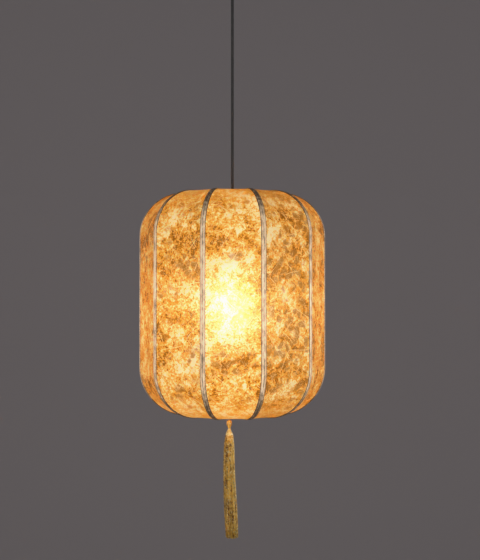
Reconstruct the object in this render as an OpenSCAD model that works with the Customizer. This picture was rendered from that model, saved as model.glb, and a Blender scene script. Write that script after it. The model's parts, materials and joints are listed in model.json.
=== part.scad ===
// Ribbed silk lantern pendant: ten wire ribs hooked on two rings, silk panels between them,
// braid trim on every rib, a lampholder on a drop spider, a taut cord to a ceiling cup and a tassel.
// Origin: centre of the ceiling face. +Z points up into the ceiling, so the lantern hangs in -Z.

/* [Lantern] */
// Width of the lantern over two opposite trims
shade_d = 360; // [340:1:380]
// Height of the silk body
shade_h = 430; // [410:1:450]
// Radius of the top shoulder of each rib
top_round = 84; // [76:1:90]
// Radius of the bottom shoulder of each rib
bottom_round = 92; // [84:1:96]
// Thickness of the silk with its paper backing
silk_t = 0.6; // [0.4:0.1:0.8]
// Diameter of a rib's spring wire
rib_wire_d = 3.5; // [3:0.1:4]
// Width of the braid trim
trim_w = 9.5; // [7:0.5:9.5]
// Thickness of the braid trim
trim_t = 0.95; // [0.6:0.05:1.2]

/* [Rings and spider] */
// Radius of the top and bottom rings, to the wire's centre
ring_r = 52; // [50:0.5:53]
// Diameter of the ring wire
ring_wire_d = 4; // [3.6:0.1:4.2]
// Radius of the silk's inner edge round each ring
edge_r = 60; // [59:0.5:62]
// Diameter of the spider's arms and of the tassel bar
arm_d = 3; // [2.5:0.1:3]
// Depth of the spider's hub below the top of the silk
hub_drop = 147; // [140:1:155]

/* [Suspension] */
// Distance from the ceiling to the top of the silk
shade_drop = 418; // [415:1:425]
// Diameter of the cord
cord_d = 6; // [5.8:0.1:6.2]
// Diameter of the ceiling cup
canopy_d = 100; // [98:1:110]
// Height of the ceiling cup
canopy_h = 26; // [25:0.5:30]
// Distance between the two ceiling screw holes
bracket_pitch = 60; // [54:1:64]

/* [Lamp] */
// Diameter of the bulb's globe
bulb_d = 60; // [55:1:62]
// Length of the bulb from its contact to its end
bulb_l = 108; // [104:1:112]

/* [Tassel] */
// Distance from the bottom of the silk to the tip of the fringe
tassel_drop = 238; // [200:1:250]
// Offset of the tassel along its bar
tassel_x = -6; // [-12:1:12]
// Diameter of the fringe at its widest
fringe_d = 23; // [20:0.5:26]

/* [Hidden] */
$fn = 48;
RIBS = 10;
STEP_A = 360 / RIBS;
HALF_A = STEP_A / 2;
FIRST_A = 72; // direction of the seam rib, at the back right seen from -Y

top_z = -shade_drop;
bottom_z = top_z - shade_h;
ridge_r = shade_d / 2 - trim_t - 0.05;
rib_w = rib_wire_d / 2;
rib_in = silk_t + rib_w + 0.55; // from the outer face of the silk to the middle of a rib wire
hook_gap = 0.3;
hook_r = ring_wire_d / 2 + hook_gap + rib_w;
top_ring_z = top_z - rib_in - hook_r;
bottom_ring_z = bottom_z + rib_in + hook_r;
trim_edge_r = edge_r + 2;
panel_gap_a = 0.12; // each panel stops this angle short of the middle of its rib
clip_l = 5;

canopy_r = canopy_d / 2;
canopy_t = 1;
bracket_t = 1.5;
bracket_l = canopy_d - 6;
bracket_w = 18;
ear_h = 11;
side_screw_z = -7;
grip_hole_r = 5.1;
grip_z = -canopy_h;
flange_h = 4;
cap_h = 7.6;
pivot_z = grip_z - flange_h - 1;

holder_z = top_z - hub_drop + 37; // top of the lampholder's cap
holder_r = 19.6;
cap_len = 26;
holder_len = 36;
rim_z = holder_z - cap_len - holder_len;
hub_z = top_z - hub_drop; // upper face of the hub
hub_t = 2;
nut_h = 8;
shell_r = 14.1;
shell_bore_r = 13.25;
tip_z = holder_z - 40;
bulb_cap_l = 26;
bulb_r = bulb_d / 2;
glass_t = 1;

cord_top = pivot_z;
cord_end = holder_z - 6;
// Route of the cord, from the ceiling grip to the lampholder: taut, so it is straight
cord_route = [for (i = [0:34]) [0, 0, cord_top + (cord_end - cord_top) * i / 34]];

bar_r = arm_d / 2;
bar_z = bottom_ring_z + ring_wire_d / 2 + bar_r - 0.4;
loop_r = 0.8;
loop_bend = bar_r + 0.3 + loop_r;
loop_end_z = bottom_z - 9;
bead_top = loop_end_z - 0.4;
bead_l = 16;
bead_r = 6;
bead_hole_r = 1.2;
head_z = bead_top - bead_l;
head_l = 13;
skirt_z = head_z - head_l;
skirt_end = bottom_z - tassel_drop;

// Outline of a rib in its own plane, [radius, height], moved inwards by d, from r_end at the top
// round both shoulders to r_end at the bottom. Radii are multiplied by flat.
function rib_outline(d, r_end, flat = 1, steps = 20) = concat(
    [[r_end * flat, top_z - d]],
    [for (i = [0:steps]) let (a = 90 - 90 * i / steps)
        [(ridge_r - top_round + (top_round - d) * cos(a)) * flat,
         top_z - top_round + (top_round - d) * sin(a)]],
    [for (i = [0:steps]) let (a = -90 * i / steps)
        [(ridge_r - bottom_round + (bottom_round - d) * cos(a)) * flat,
         bottom_z + bottom_round + (bottom_round - d) * sin(a)]],
    [[r_end * flat, bottom_z + d]]
);
function reversed(list) = [for (i = [len(list) - 1:-1:0]) list[i]];

// Rings of points round a route that runs along Z, and the faces of the closed tube over them
function tube_points(route, r, sides) =
    [for (p = route) for (k = [0:sides - 1])
        p + r * [cos(360 * k / sides), sin(360 * k / sides), 0]];
function tube_faces(rings, sides) = concat(
    [[for (k = [0:sides - 1]) k]],
    [for (i = [0:rings - 2]) for (k = [0:sides - 1]) let (n = (k + 1) % sides)
        [i * sides + k, (i + 1) * sides + k, (i + 1) * sides + n, i * sides + n]],
    [[for (k = [sides - 1:-1:0]) (rings - 1) * sides + k]]
);

// Radius of the bulb's glass at depth t below the contact: a straight neck that swells to a globe
function glass_r(t, neck, wall) =
    let (mid = bulb_l - bulb_r, start = bulb_cap_l, s = (t - start) / (mid - start))
    t < mid ? neck - wall + (bulb_r - neck) * (1 - cos(180 * s)) / 2
            : sqrt(max(0, pow(bulb_r - wall, 2) - pow(t - mid, 2)));

module rod(from, to, r) {
    v = to - from;
    translate(from)
        rotate([0, acos(v[2] / norm(v)), atan2(v[1], v[0])])
            cylinder(h = norm(v), r = r);
}

module tube(r, bore, z_low, z_high) {
    translate([0, 0, z_low])
        difference() {
            cylinder(h = z_high - z_low, r = r);
            translate([0, 0, -1])
                cylinder(h = z_high - z_low + 2, r = bore);
        }
}

// A quarter or half circle of round wire in the X-Z plane, about centre [x, z], from angle a0
module wire_bend(centre, bend, r, a0, sweep) {
    translate([centre[0], 0, centre[1]])
        rotate([90, 0, 0])
            rotate([0, 0, a0])
                rotate_extrude(angle = sweep)
                    translate([bend, 0])
                        circle(r = r, $fn = 24);
}

// A strip that follows the rib outline, between two inward offsets
module strip(d_out, d_in, r_end, width) {
    rotate([90, 0, 0])
        linear_extrude(height = width, center = true)
            polygon(concat(rib_outline(d_out, r_end), reversed(rib_outline(d_in, r_end))));
}

// ---- Ceiling fitting ----

module ceiling_bracket() color([0.75, 0.76, 0.78]) {
    difference() {
        union() {
            translate([-bracket_l / 2, -bracket_w / 2, -bracket_t])
                cube([bracket_l, bracket_w, bracket_t]);
            for (s = [-1, 1])
                translate([s * (bracket_l - bracket_t) / 2, 0, -ear_h / 2])
                    cube([bracket_t, bracket_w, ear_h], center = true);
        }
        for (s = [-1, 1]) {
            translate([s * bracket_pitch / 2, 0, -bracket_t - 1])
                cylinder(h = bracket_t + 2, r = 2.25);
            translate([s * bracket_l / 2, 0, side_screw_z])
                rotate([0, 90, 0])
                    cylinder(h = 8, r = 1.7, center = true);
        }
    }
}

module terminal_block() color([0.92, 0.91, 0.87])
    difference() {
        translate([-15, -8, -bracket_t - 12])
            cube([30, 16, 12]);
        for (x = [-9, 0, 9])
            translate([x, 0, -bracket_t - 6])
                rotate([90, 0, 0])
                    cylinder(h = 20, r = 1.8, center = true);
    }

module canopy() color([0.06, 0.06, 0.06])
    difference() {
        translate([0, 0, -canopy_h])
            cylinder(h = canopy_h, r = canopy_r);
        translate([0, 0, -canopy_h + canopy_t])
            cylinder(h = canopy_h, r = canopy_r - canopy_t);
        translate([0, 0, -canopy_h - 1])
            cylinder(h = 4, r = grip_hole_r);
        translate([0, 0, side_screw_z])
            rotate([0, 90, 0])
                cylinder(h = canopy_d + 4, r = 1.8, center = true);
    }

module canopy_screws() color([0.1, 0.1, 0.1])
    for (s = [-1, 1])
        rotate([0, 0, s > 0 ? 0 : 180])
            translate([canopy_r - 4.5, 0, side_screw_z])
                rotate([0, 90, 0])
                    difference() {
                        union() {
                            cylinder(h = 4.6, r = 1.65);
                            translate([0, 0, 4.6])
                                cylinder(h = 2.2, r = 3.4);
                        }
                        translate([-0.4, -4, 6])
                            cube([0.8, 8, 2]);
                    }

module cord_grip() color([0.05, 0.05, 0.05])
    difference() {
        union() {
            translate([0, 0, grip_z - flange_h])
                cylinder(h = flange_h, r = 9);
            translate([0, 0, grip_z])
                cylinder(h = 9, r = 5);
        }
        translate([0, 0, grip_z - 1.5])
            cylinder(h = 12, r = cord_d / 2);
        translate([0, 0, grip_z - flange_h - 1])
            cylinder(h = flange_h, r = cord_d / 2 + 0.7);
    }

module grip_locknut() color([0.07, 0.07, 0.07])
    translate([0, 0, grip_z + canopy_t])
        difference() {
            cylinder(h = 4, r = 9, $fn = 6);
            translate([0, 0, -1])
                cylinder(h = 6, r = 5.05);
        }

// Collar that turns to grip the cord; its mouth flares so that the cord can swing
module grip_cap() color([0.05, 0.05, 0.05])
    translate([0, 0, grip_z - flange_h - 0.3 - cap_h])
        difference() {
            cylinder(h = cap_h, r1 = 6.5, r2 = 8.5);
            translate([0, 0, -0.01])
                cylinder(h = cap_h + 0.02, r1 = 5.3, r2 = cord_d / 2 + 0.6);
        }

// ---- Cord ----

module cord_tail() color([0.04, 0.04, 0.04])
    translate([0, 0, grip_z - 1.5])
        cylinder(h = canopy_h + 1.5 - bracket_t - 12, r = cord_d / 2 - 0.02);

module cord() color([0.04, 0.04, 0.04])
    polyhedron(
        points = tube_points(cord_route, cord_d / 2, 12),
        faces = tube_faces(len(cord_route), 12),
        convexity = 4
    );

// ---- Lampholder ----

module holder_cap() color([0.06, 0.06, 0.06])
    difference() {
        union() {
            translate([0, 0, holder_z - cap_len])
                cylinder(h = 14, r = holder_r);
            translate([0, 0, holder_z - cap_len + 14])
                cylinder(h = 6, r1 = holder_r, r2 = 9);
            translate([0, 0, holder_z - cap_len + 20])
                cylinder(h = 6, r = 7);
        }
        translate([0, 0, holder_z - cap_len - 1])
            cylinder(h = 13, r = holder_r - 2.5);
        translate([0, 0, holder_z - cap_len + 11.9])
            cylinder(h = 5, r1 = holder_r - 2.5, r2 = 7);
        translate([0, 0, holder_z - cap_len])
            cylinder(h = cap_len + 1, r = cord_d / 2 + 0.3);
    }

module holder_body() color([0.06, 0.06, 0.06])
    difference() {
        union() {
            translate([0, 0, rim_z])
                cylinder(h = holder_len, r = holder_r);
            translate([0, 0, hub_z])
                cylinder(h = 2.5, r = 23);
        }
        translate([0, 0, rim_z - 1])
            cylinder(h = holder_len + 2, r = shell_r + 0.05);
    }

module holder_insulator() color([0.93, 0.92, 0.88])
    translate([0, 0, holder_z - cap_len - 9])
        difference() {
            cylinder(h = 8, r = shell_r);
            for (s = [-1, 1])
                translate([s * 8, 0, -1])
                    cylinder(h = 10, r = 1.5);
        }

module terminal_screws() color([0.8, 0.7, 0.4])
    for (s = [-1, 1])
        translate([s * 8, 0, holder_z - cap_len - 7]) {
            cylinder(h = 8, r = 1.45);
            translate([0, 0, 6])
                cylinder(h = 2, r = 2.6);
        }

module holder_contact() color([0.8, 0.7, 0.4])
    translate([0, 0, holder_z - cap_len - 9]) {
        translate([-4, -2.5, -1])
            cube([8, 5, 1]);
        translate([0, 0, -4.6])
            cylinder(h = 3.8, r = 2);
    }

module thread_shell() color([0.8, 0.68, 0.38])
    tube(shell_r, shell_bore_r, rim_z + 1, holder_z - cap_len - 9.05);

module shade_nut() color([0.07, 0.07, 0.07])
    difference() {
        tube(27, holder_r + 0.3, hub_z - hub_t - 0.25 - nut_h, hub_z - hub_t - 0.25);
        for (k = [0:11])
            rotate([0, 0, 30 * k])
                translate([28.5, 0, hub_z - hub_t - nut_h - 2])
                    cylinder(h = nut_h + 4, r = 3);
    }

// ---- Wire frame ----

module holder_hub() color([0.83, 0.83, 0.84])
    tube(30, holder_r + 0.05, hub_z - hub_t, hub_z);

module spider_arms() color([0.83, 0.83, 0.84])
    for (k = [0:2])
        rotate([0, 0, 90 + 120 * k])
            rod([ring_r, 0, top_ring_z - ring_wire_d / 2 - 0.8],
                [27.5, 0, hub_z - hub_t / 2], arm_d / 2);

module wire_ring(z)
    translate([0, 0, z])
        rotate_extrude()
            translate([ring_r, 0])
                circle(r = ring_wire_d / 2, $fn = 24);

module top_ring() color([0.83, 0.83, 0.84]) wire_ring(top_ring_z);

module bottom_ring() color([0.83, 0.83, 0.84]) wire_ring(bottom_ring_z);

module tassel_bar() color([0.83, 0.83, 0.84])
    translate([-ring_r, 0, bar_z])
        rotate([0, 90, 0])
            cylinder(h = 2 * ring_r, r = bar_r);

// One wire from a hook over the top ring, round both shoulders, to a hook under the bottom ring
module rib(k) color([0.83, 0.83, 0.84])
    rotate([0, 0, FIRST_A + STEP_A * k]) {
        top_c = [ridge_r - top_round, top_z - top_round];
        bottom_c = [ridge_r - bottom_round, bottom_z + bottom_round];
        wire_bend([ring_r, top_ring_z], hook_r, rib_w, 90, 90);
        translate([ring_r, 0, top_z - rib_in])
            rotate([0, 90, 0])
                cylinder(h = top_c[0] - ring_r, r = rib_w, $fn = 24);
        wire_bend(top_c, top_round - rib_in, rib_w, 0, 90);
        translate([ridge_r - rib_in, 0, bottom_c[1]])
            cylinder(h = top_c[1] - bottom_c[1], r = rib_w, $fn = 24);
        wire_bend(bottom_c, bottom_round - rib_in, rib_w, -90, 90);
        translate([ring_r, 0, bottom_z + rib_in])
            rotate([0, 90, 0])
                cylinder(h = bottom_c[0] - ring_r, r = rib_w, $fn = 24);
        wire_bend([ring_r, bottom_ring_z], hook_r, rib_w, 180, 90);
    }

// ---- Silk and trim ----

// Silk stretched flat from rib k to rib k + 1
module panel(k) color([0.95, 0.68, 0.3])
    rotate([0, 0, FIRST_A + STEP_A * k + HALF_A])
        intersection() {
            rotate([90, 0, 0])
                linear_extrude(height = shade_d, center = true)
                    polygon(concat(rib_outline(0, edge_r, cos(HALF_A)),
                                   reversed(rib_outline(silk_t, edge_r, cos(HALF_A)))));
            translate([0, 0, bottom_z - 1])
                linear_extrude(height = shade_h + 2)
                    polygon([[0, 0],
                             [shade_d, -shade_d * tan(HALF_A - panel_gap_a)],
                             [shade_d, shade_d * tan(HALF_A - panel_gap_a)]]);
        }

module trim(k) color([0.78, 0.7, 0.6])
    rotate([0, 0, FIRST_A + STEP_A * k])
        strip(-0.05 - trim_t, -0.05, trim_edge_r, trim_w);

// The closing edge of the silk: a trim-covered strip that lies over rib 0
module seam_strip() color([0.78, 0.7, 0.6])
    rotate([0, 0, FIRST_A])
        strip(-0.05 - trim_t, -0.05, edge_r - clip_l - 0.5, trim_w);

// Two snap clips under the ends of the seam strip, open on the side that they leave rib 0 by
module seam_clips() color([0.75, 0.75, 0.76])
    rotate([0, 0, FIRST_A])
        for (z = [top_z - rib_in, bottom_z + rib_in])
            translate([edge_r - clip_l - 0.5, 0, z])
                rotate([0, 90, 0])
                    difference() {
                        union() {
                            cylinder(h = clip_l, r = rib_w + 1.1);
                            translate([z > bottom_z + 50 ? -rib_in - 0.05 : 0, -1.5, 0])
                                cube([rib_in + 0.05, 3, clip_l]);
                        }
                        translate([0, 0, -1])
                            cylinder(h = clip_l + 2, r = rib_w + 0.3);
                        translate([-1.2, 0, -1])
                            cube([2.4, 6, clip_l + 2]);
                    }

// ---- Bulb ----

module bulb_glass() color([1, 0.93, 0.78, 0.5])
    translate([0, 0, tip_z])
        rotate_extrude()
            polygon(concat(
                [for (i = [0:28]) let (t = bulb_cap_l + (bulb_l - bulb_cap_l) * sin(90 * i / 28))
                    [glass_r(t, 12.4, 0), -t]],
                [for (i = [28:-1:0])
                    let (t = bulb_cap_l + (bulb_l - glass_t - bulb_cap_l) * sin(90 * i / 28))
                    [glass_r(t, 12.4, glass_t), -t]]));

// Screw shell with its rolled thread, and the contact at its top
module bulb_cap() color([0.86, 0.84, 0.78])
    translate([0, 0, tip_z])
        rotate_extrude()
            polygon(concat(
                [[0, -0.3], [3.5, -0.3], [4.5, -1.5], [8, -2.6], [11.8, -3.4]],
                [for (i = [0:36]) let (t = 3.6 + 18 * i / 36)
                    [12.45 - 0.45 * cos(360 * (t - 3.6) / 3.62), -t]],
                [[12.8, -22.5], [13.1, -24], [13.1, -bulb_cap_l + 0.05], [0, -bulb_cap_l + 0.05]]));

module bulb_stem() color([0.9, 0.95, 0.95, 0.5])
    translate([0, 0, tip_z - bulb_cap_l - 38]) {
        cylinder(h = 38, r1 = 2.2, r2 = 6);
        sphere(r = 2.6);
    }

module filaments() color([1, 0.8, 0.35])
    translate([0, 0, tip_z - bulb_cap_l])
        for (k = [0:3])
            rotate([0, 0, 45 + 90 * k])
                rod([5, 0, -66], [10.5, 0, -26], 0.9);

// ---- Tassel ----

module tassel_loop() color([0.72, 0.56, 0.3])
    translate([tassel_x, 0, 0])
        rotate([0, 0, 90]) {
            wire_bend([0, bar_z], loop_bend, loop_r, 0, 180);
            for (s = [-1, 1])
                rod([s * loop_bend, 0, bar_z], [s * 0.7, 0, loop_end_z], loop_r);
        }

module tassel_bead() color([0.7, 0.45, 0.22])
    translate([tassel_x, 0, bead_top - bead_l])
        difference() {
            rotate_extrude()
                polygon(concat([[0, 0]],
                    [for (i = [0:20]) let (u = i / 20)
                        [1.9 + (bead_r - 1.9) * pow(sin(180 * pow(u, 1.25)), 0.8), bead_l * u]],
                    [[0, bead_l]]));
            translate([0, 0, bead_l - 6])
                cylinder(h = 8, r = bead_hole_r);
        }

module tassel_head() color([0.62, 0.5, 0.28])
    translate([tassel_x, 0, head_z - head_l])
        rotate_extrude()
            polygon(concat([[0, 0]],
                [for (i = [0:16]) let (u = i / 16) [8 - 6.1 * pow(u, 2.2), (head_l - 0.05) * u]],
                [[0, head_l - 0.05]]));

module tassel_skirt() color([0.6, 0.48, 0.27])
    translate([tassel_x, 0, 0])
        rotate_extrude()
            polygon([[0, skirt_end], [fringe_d / 2 - 0.6, skirt_end],
                     [fringe_d / 2, skirt_end + 60], [fringe_d / 2 - 1.5, skirt_z - 30],
                     [8.2, skirt_z - 0.05], [0, skirt_z - 0.05]]);

ceiling_bracket();
terminal_block();
canopy();
canopy_screws();
cord_grip();
grip_locknut();
grip_cap();
cord_tail();
cord();
holder_cap();
holder_body();
holder_insulator();
holder_contact();
terminal_screws();
thread_shell();
shade_nut();
holder_hub();
spider_arms();
top_ring();
bottom_ring();
tassel_bar();
bulb_glass();
bulb_cap();
bulb_stem();
filaments();
seam_strip();
seam_clips();
tassel_loop();
tassel_bead();
tassel_head();
tassel_skirt();
rib(0);  // rib_0
rib(1);  // rib_1
rib(2);  // rib_2
rib(3);  // rib_3
rib(4);  // rib_4
rib(5);  // rib_5
rib(6);  // rib_6
rib(7);  // rib_7
rib(8);  // rib_8
rib(9);  // rib_9
panel(0);  // panel_0
panel(1);  // panel_1
panel(2);  // panel_2
panel(3);  // panel_3
panel(4);  // panel_4
panel(5);  // panel_5
panel(6);  // panel_6
panel(7);  // panel_7
panel(8);  // panel_8
panel(9);  // panel_9
trim(1);  // trim_1
trim(2);  // trim_2
trim(3);  // trim_3
trim(4);  // trim_4
trim(5);  // trim_5
trim(6);  // trim_6
trim(7);  // trim_7
trim(8);  // trim_8
trim(9);  // trim_9
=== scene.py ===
import json
import math

import bpy
import numpy as np
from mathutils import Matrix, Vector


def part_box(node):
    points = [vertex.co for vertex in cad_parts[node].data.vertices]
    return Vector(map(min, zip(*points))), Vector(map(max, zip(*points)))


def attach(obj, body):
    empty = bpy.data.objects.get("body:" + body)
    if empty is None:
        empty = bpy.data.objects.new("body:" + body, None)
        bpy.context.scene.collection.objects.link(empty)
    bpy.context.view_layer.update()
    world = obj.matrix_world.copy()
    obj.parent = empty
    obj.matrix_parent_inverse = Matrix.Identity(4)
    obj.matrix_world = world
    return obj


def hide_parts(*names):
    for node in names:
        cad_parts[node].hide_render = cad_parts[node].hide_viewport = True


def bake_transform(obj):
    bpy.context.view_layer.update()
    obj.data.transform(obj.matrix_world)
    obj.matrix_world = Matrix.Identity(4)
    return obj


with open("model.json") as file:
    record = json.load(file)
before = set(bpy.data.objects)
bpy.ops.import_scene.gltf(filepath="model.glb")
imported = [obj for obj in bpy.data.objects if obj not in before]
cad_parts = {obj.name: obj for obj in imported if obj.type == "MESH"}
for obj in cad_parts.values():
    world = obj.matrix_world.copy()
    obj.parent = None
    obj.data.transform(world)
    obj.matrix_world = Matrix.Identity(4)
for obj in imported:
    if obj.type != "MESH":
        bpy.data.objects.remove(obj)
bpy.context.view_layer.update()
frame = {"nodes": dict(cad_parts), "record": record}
mm = 0.001

# sizes taken from the frame
ribCount = 10
seamAngle = math.radians(72)              # direction of rib 0, which carries the seam
ribStep = 2 * math.pi / ribCount
halfStep = ribStep / 2
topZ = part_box("panel_0")[1].z             # the silk's flat top and bottom
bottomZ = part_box("panel_0")[0].z
outerR = -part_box("trim_3")[0].x           # trim 3 points along -X
lantern = {
    "topRound": 84 * mm,
    "bottomRound": 92 * mm,
    "edgeR": 60 * mm,
    "trimEdgeR": 62 * mm,
    "seamEdgeR": 54.5 * mm,               # the seam strip runs further in than the other trims
    "trimWidth": 9.5 * mm,
    "trimThick": 0.95 * mm,
}
ridgeR = outerR - lantern["trimThick"] - 0.05 * mm
middleZ = (topZ + bottomZ) / 2


# camera
cameraSet = {
    "distance": 2.290,                    # from the lantern's axis
    "turn": 0.52,                         # degrees round the axis
    "aimRight": 0.37,                     # degrees between the axis and the middle of the view
    "aimUp": 1.16,
    "lens": 75.9,
}


def addCamera(s):
    turn = math.radians(s["turn"])
    camera = bpy.data.objects.new("camera", bpy.data.cameras.new("camera"))
    camera.data.lens = s["lens"]
    camera.data.sensor_width = 36
    camera.location = (-s["distance"] * math.sin(turn), -s["distance"] * math.cos(turn), middleZ)
    camera.rotation_euler = (
        math.radians(90 + s["aimUp"]), 0, -turn - math.radians(s["aimRight"]))
    bpy.context.scene.collection.objects.link(camera)
    bpy.context.scene.camera = camera


addCamera(cameraSet)
print("camera placed")


# mesh and node helpers
def meshPiece(name, points, faces, material, uv=None, values=None):
    # points (n, 3), faces (m, 3 or 4); for each point uv has a pair, and values a number or vector
    mesh = bpy.data.meshes.new(name)
    mesh.from_pydata(points.tolist(), [], faces.tolist())
    mesh.update()
    corners = np.zeros(len(mesh.loops), np.int32)
    mesh.loops.foreach_get("vertex_index", corners)
    if uv is not None:
        layer = mesh.uv_layers.new(name="UVMap")
        layer.data.foreach_set("uv", uv[corners].astype(np.float32).ravel())
    for key, value in (values or {}).items():
        kind, field = ("FLOAT", "value") if value.ndim == 1 else ("FLOAT_VECTOR", "vector")
        mesh.attributes.new(key, kind, "POINT").data.foreach_set(
            field, value.astype(np.float32).ravel())
    mesh.polygons.foreach_set("use_smooth", np.full(len(mesh.polygons), True))
    mesh.materials.append(material)
    piece = bpy.data.objects.new(name, mesh)
    bpy.context.scene.collection.objects.link(piece)
    return piece


def gridFaces(rows, columns, wrapRows=False, wrapColumns=False):
    # quads over a grid of points numbered row by row; a wrapped direction closes on itself
    i, j = np.meshgrid(
        np.arange(rows if wrapRows else rows - 1),
        np.arange(columns if wrapColumns else columns - 1), indexing="ij")
    i, j = i.ravel(), j.ravel()
    up, right = (i + 1) % rows, (j + 1) % columns
    return np.stack([i * columns + j, i * columns + right,
                     up * columns + right, up * columns + j], 1)


def closedSkin(points, rows, columns, turned=False):
    # triangles over rings of points, and a fan to a middle point at each end; turned flips them
    first, last = points[:columns].mean(0), points[-columns:].mean(0)
    count, lastRing = len(points), (rows - 1) * columns
    j = np.arange(columns)
    right = (j + 1) % columns
    quads = gridFaces(rows, columns, wrapColumns=True)
    start = np.stack([np.full(columns, count), right, j], 1)
    end = np.stack([np.full(columns, count + 1), lastRing + j, lastRing + right], 1)
    if turned:
        quads, start, end = quads[:, ::-1], start[:, ::-1], end[:, ::-1]
    faces = np.vstack([quads[:, [0, 1, 2]], quads[:, [0, 2, 3]], start, end])
    return np.vstack([points, first, last]), faces


def joined(parts):
    # several (points, faces) as one, each part's faces counted on from the points before it
    starts = np.cumsum([0] + [len(p) for p, _ in parts[:-1]])
    return (np.concatenate([p for p, _ in parts]),
            np.concatenate([f + s for (_, f), s in zip(parts, starts)]))


def put(tree, kind, inputs=None, **settings):
    # a node with its settings, and its inputs as numbers or as the sockets that feed them
    node = tree.nodes.new(kind)
    for key, value in settings.items():
        setattr(node, key, value)
    for key, value in (inputs or {}).items():
        if isinstance(value, bpy.types.NodeSocket):
            tree.links.new(value, node.inputs[key])
        else:
            node.inputs[key].default_value = value
    return node


def newMaterial(name, **numbers):
    material = bpy.data.materials.new(name)
    material.use_nodes = True
    shader = material.node_tree.nodes["Principled BSDF"]
    for key, value in numbers.items():
        shader.inputs[key.replace("_", " ")].default_value = value
    return material, material.node_tree, shader


def ramp(tree, factor, stops):
    node = put(tree, "ShaderNodeValToRGB", {"Fac": factor})
    elements = node.color_ramp.elements
    while len(elements) < len(stops):
        elements.new(0.5)
    for element, (place, colour) in zip(elements, stops):
        element.position = place
        element.color = (*colour, 1)
    return node.outputs["Color"]


def noise(tree, place, scale, detail=4.0, roughness=0.55):
    return put(tree, "ShaderNodeTexNoise", {
        "Vector": place, "Scale": scale, "Detail": detail, "Roughness": roughness}).outputs["Fac"]


def math2(tree, operation, a, b=0.0):
    return put(tree, "ShaderNodeMath", {0: a, 1: b}, operation=operation).outputs["Value"]


def weighted(tree, *terms):
    # the sum of each value times its weight
    total = 0.0
    for value, weight in terms:
        total = put(tree, "ShaderNodeMath", {0: value, 1: weight, 2: total},
                    operation="MULTIPLY_ADD").outputs["Value"]
    return total


def fit(tree, value, low, high, toLow=0.0, toHigh=1.0):
    # carries the range low to high onto toLow to toHigh, and holds the ends
    return put(tree, "ShaderNodeMapRange", {
        "Value": value, "From Min": low, "From Max": high,
        "To Min": toLow, "To Max": toHigh}).outputs["Result"]


def mixColour(tree, factor, a, b, blend="MIX"):
    # a Mix node set to colour has its factor at input 0, colours at 6 and 7, and its result at 2
    node = put(tree, "ShaderNodeMix", data_type="RGBA", blend_type=blend)
    for socket, value in ((0, factor), (6, a), (7, b)):
        if isinstance(value, bpy.types.NodeSocket):
            tree.links.new(value, node.inputs[socket])
        else:
            node.inputs[socket].default_value = value
    return node.outputs[2]


def scaled(tree, vector, scale):
    return put(tree, "ShaderNodeVectorMath", {0: vector, "Scale": scale},
               operation="SCALE").outputs["Vector"]


def attribute(tree, name, output="Fac"):
    return put(tree, "ShaderNodeAttribute", attribute_name=name).outputs[output]


def mapped(tree, vector, **settings):
    # the same place moved, turned or stretched
    return put(tree, "ShaderNodeMapping", {"Vector": vector, **settings}).outputs["Vector"]


def uvPlace(tree):
    return put(tree, "ShaderNodeUVMap", uv_map="UVMap").outputs["UV"]


def bump(tree, shader, height, distance, strength=1.0):
    node = put(tree, "ShaderNodeBump", {
        "Height": height, "Distance": distance, "Strength": strength})
    tree.links.new(node.outputs["Normal"], shader.inputs["Normal"])


def objectPlace(tree):
    return put(tree, "ShaderNodeTexCoord").outputs["Object"]


# cord
cordSet = {
    "diameter": 6 * mm,
    "top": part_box("cord")[1].z,
    "end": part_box("cord")[0].z,
    "exit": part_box("holder_cap")[1].z,
    "sides": 24,
    "rings": 120,
    "threadTurn": 0.9,                    # slant of the sheath's threads, either way
    "threadScale": 420.0,
    "black": (0.012, 0.011, 0.011),
    "dusty": (0.035, 0.032, 0.03),
    "threadTone": (0.07, 0.065, 0.062),
}


def cordMaterial():
    # black textile sheath: two sets of threads that cross, along the cord's length and round it
    s = cordSet
    material, tree, shader = newMaterial("blackCordSheath", Roughness=0.62, Sheen_Weight=0.25)
    uv = uvPlace(tree)
    waves = [put(tree, "ShaderNodeTexWave", {
        "Vector": mapped(tree, uv, Rotation=(0, 0, turn)), "Scale": s["threadScale"],
        "Distortion": 0.4}).outputs["Fac"] for turn in (s["threadTurn"], -s["threadTurn"])]
    threads = math2(tree, "MAXIMUM", *waves)
    dust = fit(tree, noise(tree, objectPlace(tree), 60.0), 0.4, 0.75)
    colour = mixColour(tree, dust, (*s["black"], 1), (*s["dusty"], 1))
    colour = mixColour(tree, math2(tree, "MULTIPLY", threads, 0.35), colour, (*s["threadTone"], 1))
    tree.links.new(colour, shader.inputs["Base Color"])
    bump(tree, shader, threads, 0.0003)
    return material


def tube(line, radius, sides):
    # rings of points square to a line's direction: line + radius * (cos * side + sin * other)
    along = np.gradient(line, axis=0)
    along /= np.linalg.norm(along, axis=1, keepdims=True)
    side = np.cross(along, [0.31, 0.95, 0.02])       # any direction that no line here runs in
    side /= np.linalg.norm(side, axis=1, keepdims=True)
    other = np.cross(along, side)
    turn = np.linspace(0, 2 * np.pi, sides, endpoint=False)
    ring = np.cos(turn)[:, None] * side[:, None] + np.sin(turn)[:, None] * other[:, None]
    return (line[:, None] + ring * radius).reshape(-1, 3)


def closedTube(line, radius, sides):
    return closedSkin(tube(line, radius, sides), len(line), sides)


def addCord(s):
    heights = np.linspace(s["top"], s["end"], s["rings"])
    line = np.stack([0 * heights, 0 * heights, heights], 1)
    points, faces = closedTube(line, s["diameter"] / 2, s["sides"])
    turn = np.tile(np.linspace(0, s["diameter"] * math.pi, s["sides"]), s["rings"])
    uv = np.stack([turn, np.repeat(heights, s["sides"])], 1)
    uv = np.vstack([uv, uv[:1], uv[-1:]])
    piece = meshPiece("pendantCord", points, faces, cordMaterial(), uv)
    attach(piece, "cord")
    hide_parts("cord")


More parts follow.
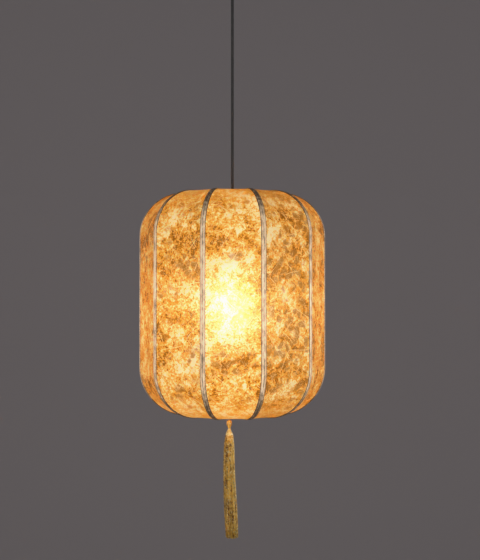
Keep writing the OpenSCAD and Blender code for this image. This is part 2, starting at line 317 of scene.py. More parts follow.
addCord(cordSet)
print("cord hung")


# shape of a rib and of the silk
def ribOutline(inner, count):
    # The rib's outer line in its own plane: flat from radius inner to the top shoulder, a quarter
    # circle, straight down, a quarter circle and flat again. Gives radius, height, the outward
    # normal's two parts and the length so far.
    topC, bottomC = ridgeR - lantern["topRound"], ridgeR - lantern["bottomRound"]
    upright = topZ - bottomZ - lantern["topRound"] - lantern["bottomRound"]
    lengths = np.array([topC - inner, lantern["topRound"] * math.pi / 2, upright,
                        lantern["bottomRound"] * math.pi / 2, bottomC - inner])
    ends = np.concatenate([[0], np.cumsum(lengths)])
    s = np.linspace(0, ends[-1], count)
    turnTop = np.clip((s - ends[1]) / lantern["topRound"], 0, math.pi / 2)
    turnBottom = np.clip((s - ends[3]) / lantern["bottomRound"], 0, math.pi / 2)
    radius = (inner + np.clip(s, 0, ends[1]) + lantern["topRound"] * np.sin(turnTop)
              - lantern["bottomRound"] * (1 - np.cos(turnBottom)) - np.clip(s - ends[4], 0, None))
    height = (topZ - lantern["topRound"] * (1 - np.cos(turnTop)) - np.clip(s - ends[2], 0, upright)
              - lantern["bottomRound"] * np.sin(turnBottom))
    tilt = math.pi / 2 - turnTop - turnBottom
    return radius, height, np.cos(tilt), np.sin(tilt), s


silkSet = {
    "across": 33,
    "along": 241,
    "shoulderPull": 3.2 * mm,             # how far the silk is drawn in between two ribs
    "uprightPull": 0.5 * mm,
    "cornerPower": 1.2,                   # how closely the deeper pull keeps to the shoulders
    "gather": 0.5 * mm,                   # fine gathers by the rings
    "gathers": 5.5,                       # half waves from a panel's middle to its edge
    "gatherReach": 16 * mm,
    "hem": 1.1 * mm,                      # radius of the rolled hem
    "hemTurn": 1.6 * math.pi,
    "hemSteps": 8,
    "thick": 0.5 * mm,
    "bulbZ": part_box("bulb_glass")[0].z + 30 * mm,
    "nearR": ridgeR * 0.95,               # distance from the bulb at which its light counts as 1
    "bulbLight": 0.56,                    # share of the glow that falls off away from the bulb
    "bounceLight": 0.58,                  # share that is even all over
    "cutApart": 0.13,                     # metres between two panels' places on the cloth
    # one value for each panel, in each of the next three
    "blotched": (0.35, 0.6, 0.25, 0.4, 0.3, 0.25, 1.05, 0.45, 0.7, 0.3),
    "redder": (0.2, 0.4, 0.3, 0.9, 0.1, 0.1, 0.2, 0.9, 0.3, 0.1),
    "bright": (0.95, 0.9, 0.95, 0.88, 1.03, 1.14, 0.70, 0.85, 0.95, 1.0),
}


def pullIn(across, normalR, normalZ):
    # a parabola between the ribs, deepest where the rib turns its corner
    turning = (2 * np.abs(normalR * normalZ)) ** silkSet["cornerPower"]
    return (1 - across ** 2) * (silkSet["uprightPull"] + silkSet["shoulderPull"] * turning)


def bothFaces(outer, inner):
    # the outer face's rows of points and then the inner face's, back again from the last row
    return np.concatenate([outer, inner[::-1]]).reshape(-1, *outer.shape[2:])


def silkPanel(k):
    # A panel runs along the rib's outline and straight across between two ribs, at radius times the
    # cosine of half the step from the axis, less its pull inward. Faces and edges are one skin.
    s = silkSet
    radius, height, normalR, normalZ, length = ribOutline(lantern["edgeR"], s["along"])
    across = np.linspace(-1, 1, s["across"])[:, None]
    inward = pullIn(across, normalR, normalZ)
    nearRing = np.exp(-((radius - lantern["edgeR"]) / s["gatherReach"]) ** 2) * np.abs(normalZ)
    gather = s["gather"] * nearRing * np.cos(across * math.pi * s["gathers"]) * (1 - across ** 4)
    shift = gather - inward
    outward = radius * math.cos(halfStep) + shift * normalR
    sideways = across * radius * math.sin(halfStep)
    level = height + shift * normalZ + 0 * across
    # the hem rolls under at both ends: a turn of radius hem below the silk's edge
    n = s["hemSteps"]
    roll = np.linspace(0, s["hemTurn"], n + 1)[1:]
    rollR, rollZ = -s["hem"] * np.sin(roll), -s["hem"] * (1 - np.cos(roll))
    outward = np.hstack([outward[:, :1] + rollR[::-1], outward, outward[:, -1:] + rollR])
    level = np.hstack([level[:, :1] + rollZ[::-1], level, level[:, -1:] - rollZ])
    sideways = np.pad(sideways, ((0, 0), (n, n)), "edge")
    length = np.concatenate([
        length[0] - s["hem"] * roll[::-1], length, length[-1] + s["hem"] * roll])
    angle = seamAngle + ribStep * k + halfStep
    points = np.stack([
        outward * math.cos(angle) - sideways * math.sin(angle),
        outward * math.sin(angle) + sideways * math.cos(angle), level], -1)
    # the inner face lies a cloth's thickness inside the outer one, along the outward normal
    normal = np.cross(np.gradient(points, axis=1), np.gradient(points, axis=0))
    normal /= np.linalg.norm(normal, axis=-1, keepdims=True)
    # light from the bulb falls off by the square of its distance, times the cosine of its slant
    toBulb = points - [0, 0, s["bulbZ"]]
    far = np.linalg.norm(toBulb, axis=-1)
    slant = np.abs((normal * toBulb).sum(-1) / far)
    glow = (s["bulbLight"] * slant * (s["nearR"] / far) ** 2 + s["bounceLight"]) * s["bright"][k]
    # how far the cloth faces up or down, where painted shade goes on the shoulders
    shoulder = np.abs(normal[..., 2])
    rows, columns = far.shape
    uv = np.stack([sideways + s["cutApart"] * k, np.tile(length, (rows, 1))], -1)
    rest = bothFaces(points, points)
    points = bothFaces(points, points - s["thick"] * normal)
    around = gridFaces(2 * rows, columns, wrapRows=True)
    # the two short ends are closed by quads from each outer point to the inner one behind it
    i = np.arange(rows - 1)
    start, back = i * columns, (2 * rows - 1 - i) * columns
    ends = np.stack([start, start + columns, back - columns, back], 1)
    faces = np.vstack([around, ends, (ends + columns - 1)[:, ::-1]])
    piece = meshPiece(f"silkPanel_{k}", points, faces, silkCloth, bothFaces(uv, uv),
                      {"silkPlace": rest, "silkGlow": bothFaces(glow, glow),
                       "silkShoulder": bothFaces(shoulder, shoulder),
                       "silkBlotched": np.full(len(points), s["blotched"][k]),
                       "silkRedder": np.full(len(points), s["redder"][k])})
    piece.data.materials.append(paperLining)
    lining = np.zeros(len(faces), np.int32)
    lining[rows * (columns - 1):(2 * rows - 1) * (columns - 1)] = 1
    piece.data.polygons.foreach_set("material_index", lining)
    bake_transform(piece)
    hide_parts(f"panel_{k}")


silkLook = {
    "tones": [(0.0, (0.26, 0.080, 0.002)), (0.2, (0.52, 0.180, 0.006)),
              (0.40, (0.80, 0.325, 0.022)), (0.58, (0.91, 0.460, 0.060)),
              (0.76, (0.97, 0.700, 0.22)), (1.0, (1.0, 0.90, 0.52))],
    "paler": 0.85,                        # power that pales the cloth's tones, but not its glow's
    "cloudScale": 22.0, "mottleScale": 100.0, "grainScale": 300.0, "speckScale": 520.0,
    "blotchScale": 60.0, "patchScale": 15.0, "veinScale": 70.0,
    "blotch": (0.36, 0.145, 0.016),
    "speck": (0.46, 0.165, 0.004),
    # painted shade on the shoulders
    "shoulder": (0.95, 0.39, 0.035),
    "redder": (1.0, 0.78, 0.5),
    "fibre": (1.0, 0.76, 0.30),
    "glow": 0.385,
    "seeThrough": 0.34,
    "liningThrough": 0.8,
    "fibreTurns": (0.62, -0.85, 1.35, 2.45),      # directions of the long fibres, in radians
    "fibreSpacing": (0.031, 0.043, 0.037, 0.052),
    "fibreHalf": (0.25 * mm, 0.75 * mm),  # half a fibre's width, full and faded out
}


def silkMaterial():
    # marbled gold silk on paper: soft clouds broken by a fine grain, brown blotches, dark specks,
    # long straight fibres and pale veins
    look = silkLook
    material, tree, shader = newMaterial(
        "marbledSilk", Roughness=0.5, Specular_IOR_Level=0.05,
        Transmission_Weight=look["seeThrough"], IOR=1.4)
    place, uv = attribute(tree, "silkPlace", "Vector"), uvPlace(tree)
    wander = put(tree, "ShaderNodeTexNoise", {"Vector": place, "Scale": 45.0, "Detail": 3.0})
    drift = scaled(tree, wander.outputs["Color"], 0.03)
    warped = put(tree, "ShaderNodeVectorMath", {0: place, 1: drift},
                 operation="ADD").outputs["Vector"]
    cloud = noise(tree, place, look["cloudScale"], 4.0, 0.6)
    mottle = noise(tree, warped, look["mottleScale"], 4.0, 0.68)
    grain = noise(tree, place, look["grainScale"], 2.0, 0.6)
    tone = fit(tree, weighted(tree, (cloud, 1.3), (mottle, 1.35), (grain, 0.9)), 1.49, 2.05)
    colour = ramp(tree, tone, look["tones"])
    # blotches: dark islands, where a slow noise and the panel's own share let them
    cells = put(tree, "ShaderNodeTexVoronoi", {
        "Vector": warped, "Scale": look["blotchScale"], "Randomness": 1.0}).outputs["Distance"]
    island = fit(tree, weighted(tree, (cells, 1.0), (grain, -0.5)), 0.27, 0.10)
    slow = noise(tree, place, look["patchScale"], 3.0, 0.55)
    patch = weighted(tree, (slow, 1.0), (attribute(tree, "silkBlotched"), 0.24))
    patch = fit(tree, patch, 0.61, 0.69)
    shade = math2(tree, "MULTIPLY", math2(tree, "MULTIPLY", island, patch), 0.85)
    colour = mixColour(tree, shade, colour, (*look["blotch"], 1))
    speck = fit(tree, noise(tree, place, look["speckScale"], 1.0, 0.5), 0.63, 0.70, 0.0, 0.75)
    colour = mixColour(tree, speck, colour, (*look["speck"], 1))
    # long fibres: straight thin lines over the surface, each seen only for part of its way
    flat = put(tree, "ShaderNodeSeparateXYZ", {0: uv})
    bend = noise(tree, place, 12.0, 1.0)
    full, gone = look["fibreHalf"]
    for turn, spacing in zip(look["fibreTurns"], look["fibreSpacing"]):
        line = weighted(tree, (flat.outputs["X"], math.cos(turn) / spacing),
                        (flat.outputs["Y"], math.sin(turn) / spacing), (bend, 0.9))
        away = math2(tree, "SUBTRACT", math2(tree, "FRACT", line), 0.5)
        thin = fit(tree, math2(tree, "ABSOLUTE", away), full / spacing, gone / spacing, 1.0, 0.0)
        coming = noise(tree, mapped(tree, place, Location=(turn, 0, 0)), 34.0, 1.0)
        shown = fit(tree, coming, 0.54, 0.62, 0.0, 0.85)
        colour = mixColour(tree, math2(tree, "MULTIPLY", thin, shown), colour, (*look["fibre"], 1))
    # painted shade: a deeper, plainer orange on the shoulders
    shoulder = fit(tree, attribute(tree, "silkShoulder"), 0.4, 0.9, 0.0, 0.55)
    colour = mixColour(tree, shoulder, colour, (*look["shoulder"], 1))
    # some panels are cut from redder cloth
    redder = attribute(tree, "silkRedder")
    colour = mixColour(tree, redder, colour, (*look["redder"], 1), "MULTIPLY")
    # pale veins where a noise crosses its middle value
    vein = math2(tree, "SUBTRACT", noise(tree, warped, look["veinScale"], 3.0, 0.6), 0.5)
    vein = fit(tree, math2(tree, "ABSOLUTE", vein), 0.0, 0.02, 0.5, 0.0)
    colour = mixColour(tree, vein, colour, (*look["fibre"], 1))
    pale = put(tree, "ShaderNodeGamma", {"Color": colour, "Gamma": look["paler"]}).outputs["Color"]
    tree.links.new(pale, shader.inputs["Base Color"])
    # painted glow: the cloth's colour times the bulb's light at each point, given out as emission
    lit = scaled(tree, colour, attribute(tree, "silkGlow"))
    tree.links.new(lit, shader.inputs["Emission Color"])
    shader.inputs["Emission Strength"].default_value = look["glow"]
    bump(tree, shader, weighted(tree, (mottle, 1.0), (grain, 1.0)), 0.0004, 0.6)
    return material


def liningMaterial():
    # pale paper glued inside the silk: cloudy, with short fibres
    material, tree, shader = newMaterial(
        "paperLining", Roughness=0.62, Specular_IOR_Level=0.15,
        Transmission_Weight=silkLook["liningThrough"], IOR=1.4)
    place = attribute(tree, "silkPlace", "Vector")
    cloud = noise(tree, place, 60.0, 4.0, 0.6)
    drawn = mapped(tree, place, Rotation=(0.4, 0.7, 0.2), Scale=(1.0, 1.0, 0.15))
    fibre = noise(tree, drawn, 700.0, 2.0)
    colour = ramp(tree, weighted(tree, (cloud, 0.7), (fibre, 0.5)),
                  [(0.42, (0.94, 0.86, 0.74)), (0.72, (1.0, 0.97, 0.95))])
    tree.links.new(colour, shader.inputs["Base Color"])
    bump(tree, shader, fibre, 0.0002)
    return material


silkCloth, paperLining = silkMaterial(), liningMaterial()
for k in range(ribCount):
    silkPanel(k)
print("silk stretched")


# braid trims
braidSet = {
    "along": 480,
    "round": 26,
    "plait": 5.2 * mm,                    # length of one plait
    "swell": 0.12,                        # of the trim's thickness, at each plait
    "softRidge": 1.3 * mm,                # how softly the braid bends over the rib
    "offSilk": 0.25 * mm,
    "fullWidth": 10.4 * mm,               # on the uprights; it draws in towards the rings
    "threadPitch": 2.2 * mm,
    "silver": [(0.38, (0.17, 0.115, 0.065)), (0.55, (0.54, 0.37, 0.22)),
               (0.72, (0.98, 0.70, 0.43)), (0.9, (1.0, 0.86, 0.62))],
    # colour of the painted shade on the shoulders
    "shoulderShade": (0.19, 0.125, 0.068),
    "groove": (0.085, 0.058, 0.036),
    "glow": 0.58,
}


def braidMaterial():
    # flat silver braid that lets some light through: two bright ridges, with painted shade in the
    # grooves between them and along both edges, crossed by its plaits and worn in patches
    s = braidSet
    material, tree, shader = newMaterial("silverBraid", Metallic=0.55, Roughness=0.40)
    split = put(tree, "ShaderNodeSeparateXYZ", {0: uvPlace(tree)})
    side = math2(tree, "ABSOLUTE", split.outputs["X"])
    place = attribute(tree, "braidPlace", "Vector")
    slope = weighted(tree, (split.outputs["Y"], 2 * math.pi / s["threadPitch"]), (side, 9.0))
    plait = fit(tree, math2(tree, "SINE", slope), -1.0, 1.0)
    worn = noise(tree, mapped(tree, place, Scale=(1.0, 1.0, 0.35)), 190.0, 4.0, 0.65)
    patchy = noise(tree, place, 30.0, 3.0, 0.6)
    tone = weighted(tree, (plait, 0.16), (worn, 0.9), (patchy, 0.25))
    colour = ramp(tree, tone, s["silver"])
    edges = math2(tree, "MULTIPLY", fit(tree, side, 0.70, 0.84),
                  fit(tree, patchy, 0.3, 0.6, 0.5, 1.0))
    middle = math2(tree, "MULTIPLY", fit(tree, side, 0.16, 0.05),
                   fit(tree, worn, 0.4, 0.6, 1.0, 0.55))
    groove = math2(tree, "MAXIMUM", edges, middle)
    # painted shade: darker towards the rings, where the braid bends over the shoulders, but for
    # specks
    shoulderShade = math2(tree, "MULTIPLY", fit(tree, attribute(tree, "braidUpright"), 0.97, 0.72),
                    fit(tree, worn, 0.62, 0.5, 0.35, 0.85))
    colour = mixColour(tree, shoulderShade, colour, (*s["shoulderShade"], 1))
    # painted shade in the grooves down the middle and along both edges
    colour = mixColour(tree, math2(tree, "MULTIPLY", groove, 0.92), colour, (*s["groove"], 1))
    tree.links.new(colour, shader.inputs["Base Color"])
    # painted glow: the light let through, given out as emission, less on the shoulders
    lit = scaled(tree, colour, attribute(tree, "braidGlow"))
    tree.links.new(lit, shader.inputs["Emission Color"])
    shader.inputs["Emission Strength"].default_value = s["glow"]
    bump(tree, shader, weighted(tree, (plait, 1.0), (groove, -0.8)), 0.0003, 0.8)
    return material


def braidTrim(k, name, node, body, inner, material):
    # The braid lies on the silk on both sides of the rib. Its cross-section is a flat strip with
    # two ridges, dropped by the silk's slope; the plaits' swell, a cosine wave, runs along it.
    s = braidSet
    radius, height, normalR, normalZ, length = ribOutline(inner, s["along"])
    turn = np.linspace(0, 2 * math.pi, s["round"], endpoint=False)
    grown = (s["fullWidth"] - lantern["trimWidth"]) / 2
    half = lantern["trimWidth"] / 2 + grown * normalR[:, None] ** 2
    flat = np.sign(np.cos(turn)) * np.abs(np.cos(turn)) ** 0.7     # -1 to 1 across the strip
    upper = np.sin(turn) > -1e-9
    edge = 1 - flat ** 6
    phase = length[:, None] * 2 * math.pi / s["plait"]
    swell = s["swell"] * np.cos(phase + np.abs(flat) * 5)
    ridges = 0.55 + 0.25 * (1 - np.cos(2 * math.pi * np.abs(flat))) / 2 + swell
    crown = np.where(upper, ridges * (0.35 + 0.65 * edge), 0.02 * edge + 0.05)
    wide = flat * half * (1 + 0.02 * np.cos(phase))
    drop = (np.sqrt(wide ** 2 + s["softRidge"] ** 2) - s["softRidge"]) * math.tan(halfStep)
    share = 1 - np.abs(wide) / (radius[:, None] * math.sin(halfStep))
    inward = pullIn(share, normalR[:, None], normalZ[:, None])
    rise = lantern["trimThick"] * crown + s["offSilk"] - inward
    outward = radius[:, None] - drop + rise * normalR[:, None]
    level = height[:, None] + rise * normalZ[:, None]
    angle = seamAngle + ribStep * k
    points = np.stack([
        outward * math.cos(angle) - wide * math.sin(angle),
        outward * math.sin(angle) + wide * math.cos(angle), level], -1).reshape(-1, 3)
    rows, columns = len(length), s["round"]
    points, faces = closedSkin(points, rows, columns)
    uv = np.stack([np.tile(flat, rows), np.repeat(length, columns)], 1)
    far = np.linalg.norm(points - [0, 0, silkSet["bulbZ"]], axis=1)
    upright = np.concatenate([np.repeat(normalR, columns), [0, 0]])
    glow = (ridgeR / far) ** 2 * np.clip(upright, 0, 1) ** 3
    piece = meshPiece(name, points, faces, material, np.vstack([uv, uv[:1], uv[-1:]]),
                      {"braidPlace": points, "braidGlow": glow, "braidUpright": upright})
    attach(piece, body)
    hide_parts(node)


braid = braidMaterial()
for k in range(1, ribCount):
    braidTrim(k, f"braid_{k}", f"trim_{k}", f"rib_{k}", lantern["trimEdgeR"], braid)
braidTrim(0, "braidSeam", "seam_strip", "seam", lantern["seamEdgeR"], braid)
print("braid laid")


# bulb
bulbSet = {
    "light": 32.0,
    "warm": (1.0, 0.88, 0.90),
    "cooler": (1.0, 0.91, 0.95),
    "sides": 64,
    "rows": 36,                           # on the neck, and as many on the globe
    "neckR": 12.4 * mm,
    "poleR": 0.05 * mm,                   # the globe's last ring before its pole
}


def opalGlass():
    # lit opal glass, with a slight haze between two tones
    material, tree, shader = newMaterial("opalGlass", Roughness=0.25, IOR=1.5)
    haze = fit(tree, noise(tree, objectPlace(tree), 40.0, 2.0), 0.3, 0.7)
    colour = mixColour(tree, haze, (*bulbSet["warm"], 1), (*bulbSet["cooler"], 1))
    tree.links.new(colour, shader.inputs["Base Color"])
    tree.links.new(colour, shader.inputs["Emission Color"])
    shader.inputs["Emission Strength"].default_value = bulbSet["light"]
    return material


def spun(profile, sides, centre=(0, 0)):
    # rings of points: a profile of (radius, height) turned round an upright axis at centre
    turn = np.linspace(0, 2 * math.pi, sides, endpoint=False)
    radius, height = profile.T
    return np.stack([
        centre[0] + radius[:, None] * np.cos(turn), centre[1] + radius[:, None] * np.sin(turn),
        height[:, None] + 0 * turn], -1).reshape(-1, 3)


def spunPiece(name, profile, sides, material, centre=(0, 0)):
    # profile runs from the top down, so that the faces point outwards; both ends get a fan
    points, faces = closedSkin(spun(profile, sides, centre), len(profile), sides, turned=True)
    turn = np.tile(np.linspace(0, 1, sides, endpoint=False), len(profile))
    uv = np.stack([turn, np.repeat(profile[:, 1], sides)], 1)
    return meshPiece(name, points, faces, material, np.vstack([uv, uv[:1], uv[-1:]]))


def addBulb(s):
    low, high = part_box("bulb_glass")
    globe, neck = (high.x - low.x) / 2, s["neckR"]
    # neck swells to the globe as half a cosine wave, then the globe closes as a circle
    t = np.linspace(0, 1, s["rows"])
    neckZ = high.z + (low.z + globe - high.z) * t
    neckR = neck + (globe - neck) * (1 - np.cos(math.pi * t)) / 2
    a = np.linspace(0, math.pi / 2, s["rows"] + 1)[1:]
    globeZ = low.z + globe - globe * np.sin(a)
    globeR = np.maximum(globe * np.cos(a), s["poleR"])
    profile = np.stack([np.append(neckR, globeR), np.append(neckZ, globeZ)], 1)
    piece = spunPiece("bulbGlobe", profile, s["sides"], opalGlass())
    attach(piece, "bulb")
    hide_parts("bulb_glass")


addBulb(bulbSet)
print("bulb lit")


# finishes of the parts that keep their CAD shape
def speckled(name, dark, light, scale, grain, **numbers):
    # two tones mixed by a noise, with a fine grain in the surface
    material, tree, shader = newMaterial(name, **numbers)
    place = objectPlace(tree)
    share = fit(tree, noise(tree, place, scale), 0.35, 0.65)
    colour = mixColour(tree, share, (*dark, 1), (*light, 1))
    tree.links.new(colour, shader.inputs["Base Color"])
    bump(tree, shader, noise(tree, place, scale * 9, 3.0), grain)
    return material


finishes = {
    "plated_steel": speckled("zincWire", (0.42, 0.42, 0.44), (0.68, 0.68, 0.70),
                             180, 0.00008, Metallic=1.0, Roughness=0.32),
    "black_steel": speckled("blackPowderCoat", (0.018, 0.018, 0.019), (0.035, 0.034, 0.034),
                            300, 0.0001, Roughness=0.5),
    "black_plastic": speckled("blackPhenolic", (0.014, 0.013, 0.013), (0.032, 0.03, 0.03),
                              120, 0.00005, Roughness=0.35, Coat_Weight=0.2),
    "white_plastic": speckled("ivoryPlastic", (0.70, 0.67, 0.58), (0.80, 0.78, 0.70),
                              90, 0.00005, Roughness=0.45),
    "black_cord": speckled("blackSheathEnd", (0.012, 0.011, 0.011), (0.05, 0.046, 0.044),
                           600, 0.0001, Roughness=0.62),
    "brass": speckled("plainBrass", (0.55, 0.38, 0.13), (0.78, 0.60, 0.27),
                      150, 0.00006, Metallic=1.0, Roughness=0.3),
    "bulb_glass": speckled("stemGlass", (0.85, 0.87, 0.86), (0.92, 0.94, 0.93),
                           60, 0.00003, Roughness=0.1, Transmission_Weight=0.9),
    "bulb_cap_metal": speckled("nickelThread", (0.50, 0.49, 0.46), (0.72, 0.71, 0.67),
                               140, 0.00006, Metallic=1.0, Roughness=0.28),
    "filament": speckled("phosphorStick", (0.85, 0.55, 0.10), (0.95, 0.70, 0.20),
                         500, 0.00005, Roughness=0.5),
    "bead": speckled("amberBead", (0.52, 0.19, 0.015), (0.95, 0.52, 0.09),
                     110, 0.00006, Roughness=0.25, Coat_Weight=0.3),
}
slotOf = {p["node"]: p["material_slot"] for p in frame["record"]["subparts"]}
for name, part in frame["nodes"].items():
    if slotOf[name] in finishes:
        part.data.materials.clear()
        part.data.materials.append(finishes[slotOf[name]])
print("finishes given")


# tassel
def goldThread(name, dark, light, glint):
    # crinkled metal thread: each strand has its own tone, broken into short dark and light facets,
    # with bright glints
    material, tree, shader = newMaterial(name, Metallic=0.3, Roughness=0.3)
    tone, place = attribute(tree, "strandTone"), objectPlace(tree)
    drawn = mapped(tree, place, Scale=(1.0, 1.0, 0.6))
    facet = noise(tree, drawn, 270.0, 2.0, 0.65)
    slow = noise(tree, drawn, 60.0, 2.0)
    share = fit(tree, weighted(tree, (tone, 0.3), (facet, 1.5), (slow, 0.9)), 1.15, 1.46)
    base = mixColour(tree, share, (*dark, 1), (*light, 1))
    # painted glints: bright specks mixed into the thread's colour
    glintSpot = fit(tree, noise(tree, place, 360.0, 1.0), 0.58, 0.64)
    colour = mixColour(tree, glintSpot, base, (*glint, 1))
    tree.links.new(colour, shader.inputs["Base Color"])
    bump(tree, shader, facet, 0.0012)
    return material


loopSet = {
    "plyR": 0.42 * mm,
    "steps": 160,
    "twists": 16,
    "leg": 0.36,                          # share of the loop's line on each leg
    "drawnIn": 0.72,                      # how far the legs come together at the bead
    "tone": 0.6,
    "thread": ((0.45, 0.26, 0.07), (0.95, 0.66, 0.26), (1.0, 0.95, 0.7)),    # dark, light, glint
}


def addLoop(s):
    # two plies twisted round a line that goes up over the bar, round it by half a turn and down
    low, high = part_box("tassel_loop")
    x, wide = (low.x + high.x) / 2, (high.y - low.y) / 2
    bend = wide - s["plyR"] * 2
    barZ = high.z - wide
    t, leg = np.linspace(0, 1, s["steps"]), s["leg"]
    turn = np.clip((t - leg) / (1 - 2 * leg), 0, 1) * math.pi
    down = np.clip(1 - t / leg, 0, 1) + np.clip((t - 1 + leg) / leg, 0, 1)
    lineY = -bend * np.cos(turn) * (1 - s["drawnIn"] * down)
    lineZ = barZ + bend * np.sin(turn) + (low.z + 0.5 * mm - barZ) * down
    twist = t * s["twists"] * 2 * math.pi
    plies = []
    for phase in (0, math.pi):
        line = np.stack([x + s["plyR"] * np.cos(twist + phase),
                         lineY + s["plyR"] * np.sin(twist + phase), lineZ], 1)
        plies.append(closedTube(line, s["plyR"], 8))
    points, faces = joined(plies)
    loop = meshPiece("tasselLoop", points, faces, goldThread("loopThread", *s["thread"]),
                     values={"strandTone": np.full(len(points), s["tone"])})
    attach(loop, "tassel_loop")
    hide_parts("tassel_loop")


beadSet = {
    "rows": 48, "sides": 64,
    "wide": 0.92,                         # of the CAD bead's radius
    "holeR": 1.9 * mm,                    # at both ends
    "collar": 0.45 * mm,
}


def addBead(s):
    # a drop turned on a lathe: its radius swells as half a sine wave, with a collar at each end
    low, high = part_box("tassel_bead")
    u = np.linspace(0, 1, s["rows"])
    wide = (high.x - low.x) / 2 * s["wide"]
    radius = s["holeR"] + (wide - s["holeR"]) * np.sin(math.pi * u ** 1.25) ** 0.8
    ends = np.exp(-((u - 0.05) / 0.035) ** 2) + np.exp(-((u - 0.95) / 0.035) ** 2)
    profile = np.stack([radius + s["collar"] * ends, low.z + (high.z - low.z) * u], 1)[::-1]
    loopLow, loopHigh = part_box("tassel_loop")
    centre = ((loopLow.x + loopHigh.x) / 2, 0)
    bead = spunPiece("tasselBead", profile, s["sides"], finishes["bead"], centre)
    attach(bead, "tassel")
    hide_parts("tassel_bead")


fringeSet = {
    "strands": 300,
    "strandR": 0.42 * mm,
    "steps": 13,
    "seed": 7,
    "goldenAngle": 2.39996,
    "swellAt": (0, 0.03, 0.12, 0.3, 0.6, 1),
    "swell": (0.66, 0.76, 0.92, 1.01, 1.10, 1.10),    # the fringe's width, down its length
    "strayShare": 0.07,                   # of the strands
    "stray": 3.5 * mm,                    # the most that a stray strand stands off
    "wave": 0.9 * mm,
    "waveTurn": 7,                        # radians of the wave down a strand
    "shorter": 0.05,                      # share of its length that one strand may lack
    "rounded": 0.018,                     # share that the outer ones lack
    "lean": 5.2 * mm,                     # the fringe hangs this far off plumb at its tip
    "sway": 1.9 * mm,                     # and bows this far the other way above
    "thread": ((0.29, 0.095, 0.003), (1.0, 0.63, 0.11), (1.0, 0.88, 0.48)),    # dark, light, glint
}


def addFringe(s):
    # strands fill a disc by the golden angle; each hangs in a slow sine wave to its own length
    random = np.random.default_rng(s["seed"])
    thread = goldThread("goldThread", *s["thread"])
    low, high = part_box("tassel_skirt")
    x, y, wide = (low.x + high.x) / 2, (low.y + high.y) / 2, (high.x - low.x) / 2
    n, steps = s["strands"], s["steps"]
    order = np.arange(n)
    reach = np.sqrt((order + 0.5) / n)[:, None]
    angle = (order * s["goldenAngle"])[:, None]
    t = np.linspace(0, 1, steps)[None]
    swell = np.interp(t, s["swellAt"], s["swell"])
    astray = random.random((n, 1)) > 1 - s["strayShare"]
    stray = astray * random.uniform(0.0, s["stray"], (n, 1)) * t ** 2
    radius = (wide - s["strandR"]) * reach * swell + stray
    bend = random.uniform(-1, 1, (n, 2, 1)) * s["wave"]
    phase = random.uniform(0, 2 * math.pi, (n, 2, 1))
    wave = bend * np.sin(phase + t[:, None] * s["waveTurn"]) * t[:, None]
    lack = s["shorter"] * random.random((n, 1)) ** 3 + s["rounded"] * reach ** 4
    fall = (high.z - low.z) * (1 - lack)
    hang = s["lean"] * t ** 2 - s["sway"] * np.sin(math.pi * t) * (1 - t)
    lineX = x + radius * np.cos(angle) + wave[:, 0] + hang
    lineY = y + radius * np.sin(angle) + wave[:, 1]
    lineZ = high.z - fall * t
    # a strand is a three-sided tube, closed by one triangle at each end
    turn = np.linspace(0, 2 * math.pi, 3, endpoint=False)
    points = np.stack([
        lineX[..., None] + s["strandR"] * np.cos(turn),
        lineY[..., None] + s["strandR"] * np.sin(turn), lineZ[..., None] + 0 * turn], -1)
    quads = gridFaces(steps, 3, wrapColumns=True)[:, ::-1]
    ends = np.array([[0, 1, 2], [steps * 3 - 1, steps * 3 - 2, steps * 3 - 3]])
    one = np.vstack([quads[:, [0, 1, 2]], quads[:, [0, 2, 3]], ends])
    faces = (one[None] + (order * steps * 3)[:, None, None]).reshape(-1, 3)
    tone = np.repeat(random.random(n), steps * 3)
    piece = meshPiece("tasselFringe", points.reshape(-1, 3), faces, thread,
                      values={"strandTone": tone})
    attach(piece, "tassel")
    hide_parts("tassel_skirt")


headSet = {
    "rows": 40, "sides": 120,
    "topR": 1.7 * mm,
    "spread": 5.7 * mm,                   # how much wider the head is at its foot
    "threads": 40,
    "ridge": 0.035,                       # of the head's radius
    "bound": 0.78,                        # where the binding lies, from 0 at the top to 1
    "boundHalf": 0.16,                    # and half the length that it covers
    "wraps": 22,                          # turns that it would take over the whole head
    "wrapR": 0.22 * mm,
    "wrapLift": 0.1 * mm,
    "thread": ((0.62, 0.36, 0.05), (1.0, 0.78, 0.28), (1.0, 0.95, 0.66)),    # dark, light, glint
}


def addHead(s):
    # threads drawn down over a cone, with a ridge for each, and a binding wound round their foot
    low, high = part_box("tassel_head")
    skirtLow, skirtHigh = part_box("tassel_skirt")
    x, y = (skirtLow.x + skirtHigh.x) / 2, (skirtLow.y + skirtHigh.y) / 2
    u = np.linspace(0, 1, s["rows"])
    headR = s["topR"] + s["spread"] * u ** 0.9
    headZ = high.z + (low.z - high.z) * u
    turn = np.linspace(0, 2 * math.pi, s["sides"], endpoint=False)
    ridge = np.abs(np.sin(turn * s["threads"] / 2))
    threads = headR[:, None] * (1 - s["ridge"] * ridge)
    bound = np.exp(-((u - s["bound"]) / s["boundHalf"]) ** 6)[:, None]
    wraps = s["wrapR"] * np.abs(np.sin(u * math.pi * s["wraps"]))[:, None]
    radius = threads * (1 - bound) + bound * (headR[:, None] + s["wrapLift"] + wraps)
    points = np.stack([x + radius * np.cos(turn), y + radius * np.sin(turn),
                       headZ[:, None] + 0 * turn], -1).reshape(-1, 3)
    points, faces = closedSkin(points, s["rows"], s["sides"], turned=True)
    tone = np.append(0.25 + 0.3 * ridge + 0.4 * bound, [0.5, 0.5])
    piece = meshPiece("tasselHead", points, faces, goldThread("bindingThread", *s["thread"]),
                      values={"strandTone": tone})
    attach(piece, "tassel")
    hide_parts("tassel_head")


addLoop(loopSet)
addBead(beadSet)
addFringe(fringeSet)
addHead(headSet)
print("tassel tied")


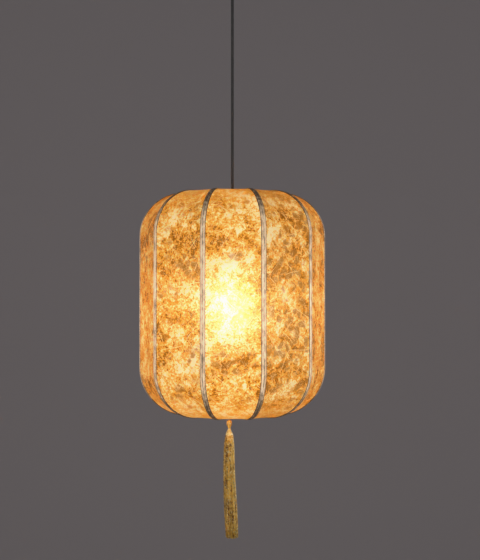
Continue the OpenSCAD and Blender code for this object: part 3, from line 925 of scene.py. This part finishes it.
# studio
studioSet = {
    "floorZ": -2.4, "wallR": 4.6, "round": 1.5, "wallTop": 3.4, "middleR": 0.2 * mm,
    "sides": 96,
    "floorTone": (0.495, 0.46, 0.465),
    "sky": 0.17,
    "skyTone": (0.80, 0.78, 0.80),
    # light in and light shown
    "shoulder": ((0.75, 0.75), (0.95, 0.92), (1.2, 0.955), (1.8, 0.98), (4.0, 1.0)),
    "lights": (                           # name, place, size, power
        ("keyLight", (1.75, -2.35, -0.75), 1.3, 32),
        ("fillLight", (-1.75, -2.35, -0.75), 1.5, 23),
        ("leftLight", (-2.4, 0.8, -0.7), 1.4, 8),
        ("rightLight", (2.4, 0.8, -0.7), 1.4, 8)),
}


def addStudio(s):
    # a round floor that turns up into a wall by a quarter circle, all the way round
    t = np.linspace(0, math.pi / 2, 24)
    profile = np.concatenate([
        [[s["wallR"], s["wallTop"]]],
        np.stack([s["wallR"] - s["round"] * (1 - np.cos(t)),
                  s["floorZ"] + s["round"] * (1 - np.sin(t))], 1),
        [[s["middleR"], s["floorZ"]]]])
    material, _, shader = newMaterial("paleFloor", Roughness=0.9)
    shader.inputs["Base Color"].default_value = (*s["floorTone"], 1)
    faces = gridFaces(len(profile), s["sides"], wrapColumns=True)
    floor = meshPiece("studioFloor", spun(profile, s["sides"]), faces, material)
    world = bpy.data.worlds.new("studio")
    bpy.context.scene.world = world
    world.use_nodes = True
    background = world.node_tree.nodes["Background"]
    background.inputs["Color"].default_value = (*s["skyTone"], 1)
    background.inputs["Strength"].default_value = s["sky"]
    for name, place, size, power in s["lights"]:
        light = bpy.data.lights.new(name, "AREA")
        light.size, light.energy = size, power
        lamp = bpy.data.objects.new(name, light)
        lamp.visible_camera = False
        bpy.context.scene.collection.objects.link(lamp)
        lamp.location = place
        # each light faces the lantern's middle
        away = np.array(place) - [0, 0, middleZ]
        tilt = math.acos(away[2] / np.linalg.norm(away))
        lamp.rotation_euler = (tilt, 0, math.atan2(away[1], away[0]) + math.pi / 2)
    # plain display, with a soft shoulder so that the brightest cloth keeps its hue
    view = bpy.context.scene.view_settings
    view.view_transform = "Standard"
    view.use_curve_mapping = True
    view.curve_mapping.use_clip = False
    for curve in view.curve_mapping.curves[:3]:
        curve.points[1].location = s["shoulder"][0]
        for place in s["shoulder"][1:]:
            curve.points.new(*place)
        for point in curve.points:
            point.handle_type = "VECTOR"
    view.curve_mapping.update()


addStudio(studioSet)
print("studio set")
